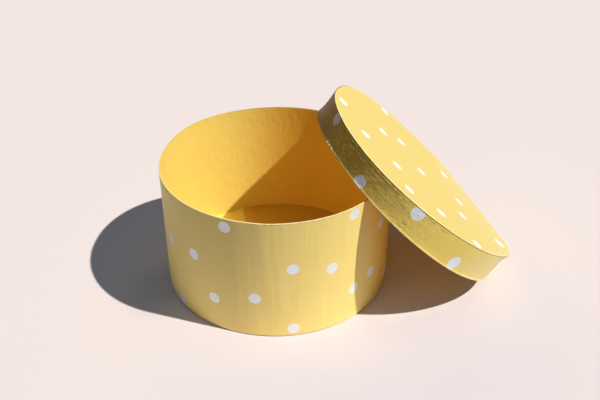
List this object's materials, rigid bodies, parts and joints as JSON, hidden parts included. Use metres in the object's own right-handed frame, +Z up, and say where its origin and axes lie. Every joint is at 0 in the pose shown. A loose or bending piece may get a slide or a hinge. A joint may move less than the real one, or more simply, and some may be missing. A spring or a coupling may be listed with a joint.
{
  "type": "round box",
  "caption": "Round paperboard keepsake box wrapped in dotted paper, open, with its shallow lift-off lid leaning on the rim.",
  "frame": {"origin": "centre of the box's base, on the ground that the box and the lid's foot stand on", "axes": "+Z up along the box's axis, +X from the box's axis towards the foot of the leaning lid"},
  "size_m": [0.2775, 0.1906, 0.1446],
  "materials": {
    "dotted_paper": "satin yellow paper with whitish dots",
    "lining_paper": "plain golden paper, slightly mottled",
    "greyboard": "matt grey board",
    "gummed_tape": "matt brown paper tape"
  },
  "bodies": {
    "box": {"wall_board": "greyboard", "wall_joint_tape": "gummed_tape", "base_board": "greyboard", "wall_wrap_paper": "dotted_paper", "wall_lining_paper": "lining_paper", "base_lining_paper": "lining_paper", "base_cover_paper": "lining_paper"},
    "lid": {"lid_top_board": "greyboard", "lid_rim_board": "greyboard", "lid_joint_tape": "gummed_tape", "lid_top_paper": "dotted_paper", "lid_rim_wrap_paper": "dotted_paper", "lid_top_lining": "lining_paper", "lid_rim_lining": "lining_paper"}
  },
  "joints": [
    {"name": "lid_lift", "type": "slide", "parent": "box", "child": "lid", "axis": [0, 0, 1], "range_m": [0, 0.115]}
  ]
}
